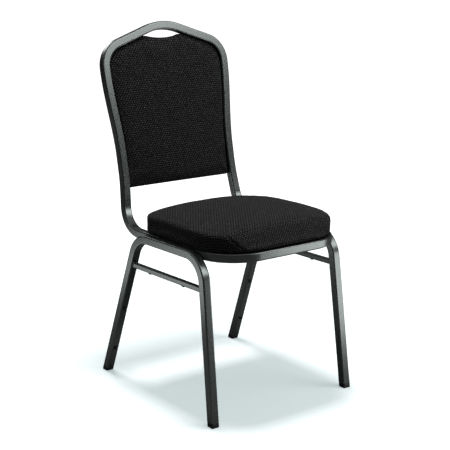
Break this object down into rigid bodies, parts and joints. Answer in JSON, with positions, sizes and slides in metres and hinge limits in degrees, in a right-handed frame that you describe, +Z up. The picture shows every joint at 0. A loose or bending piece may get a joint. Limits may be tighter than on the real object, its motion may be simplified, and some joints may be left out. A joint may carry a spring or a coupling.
{
  "type": "stacking chair",
  "caption": "Stacking banquet chair with a welded square-tube frame, crowned back with a hand hole, padded back and padded seat.",
  "frame": {"origin": "on the floor under the middle of the chair's bounding box", "axes": "+Z up, -Y the way the sitter faces, +X to the right of someone looking at the chair's front"},
  "size_m": [0.4586, 0.5659, 0.9408],
  "materials": {
    "frame_paint": "satin metallic powder coat",
    "plated_steel": "zinc plated",
    "black_plastic": "matte",
    "upholstery": "tonal woven cloth",
    "dust_cloth": "thin non-woven cloth",
    "foam": "cut foam",
    "plywood": "raw"
  },
  "bodies": {
    "root": {"seat_front_rail": "frame_paint", "seat_rear_crossbar": "frame_paint", "seat_cover": "upholstery", "seat_foam": "foam", "seat_board": "plywood", "seat_dust_cover": "dust_cloth", "seat_tab_left_front": "frame_paint", "seat_screw_left_front": "plated_steel", "seat_nut_left_front": "plated_steel", "seat_tab_right_front": "frame_paint", "seat_screw_right_front": "plated_steel", "seat_nut_right_front": "plated_steel", "seat_tab_left_rear": "frame_paint", "seat_screw_left_rear": "plated_steel", "seat_nut_left_rear": "plated_steel", "seat_tab_right_rear": "frame_paint", "seat_screw_right_rear": "plated_steel", "seat_nut_right_rear": "plated_steel", "back_cover_front": "upholstery", "back_foam": "foam", "back_board": "plywood", "back_cover_rear": "upholstery", "back_tab_left_lower": "frame_paint", "back_screw_left_lower": "plated_steel", "back_tab_right_lower": "frame_paint", "back_screw_right_lower": "plated_steel", "back_tab_left_upper": "frame_paint", "back_screw_left_upper": "plated_steel", "back_tab_right_upper": "frame_paint", "back_screw_right_upper": "plated_steel", "back_frame_tube": "frame_paint", "left_leg_frame": "frame_paint", "left_stretcher": "frame_paint", "left_leg_bumper_upper": "black_plastic", "left_leg_bumper_lower": "black_plastic", "left_stretcher_bumper_front": "black_plastic", "left_stretcher_bumper_rear": "black_plastic", "left_front_glide": "black_plastic", "left_rear_glide": "black_plastic", "right_leg_frame": "frame_paint", "right_stretcher": "frame_paint", "right_leg_bumper_upper": "black_plastic", "right_leg_bumper_lower": "black_plastic", "right_stretcher_bumper_front": "black_plastic", "right_stretcher_bumper_rear": "black_plastic", "right_front_glide": "black_plastic", "right_rear_glide": "black_plastic"}
  },
  "joints": []
}
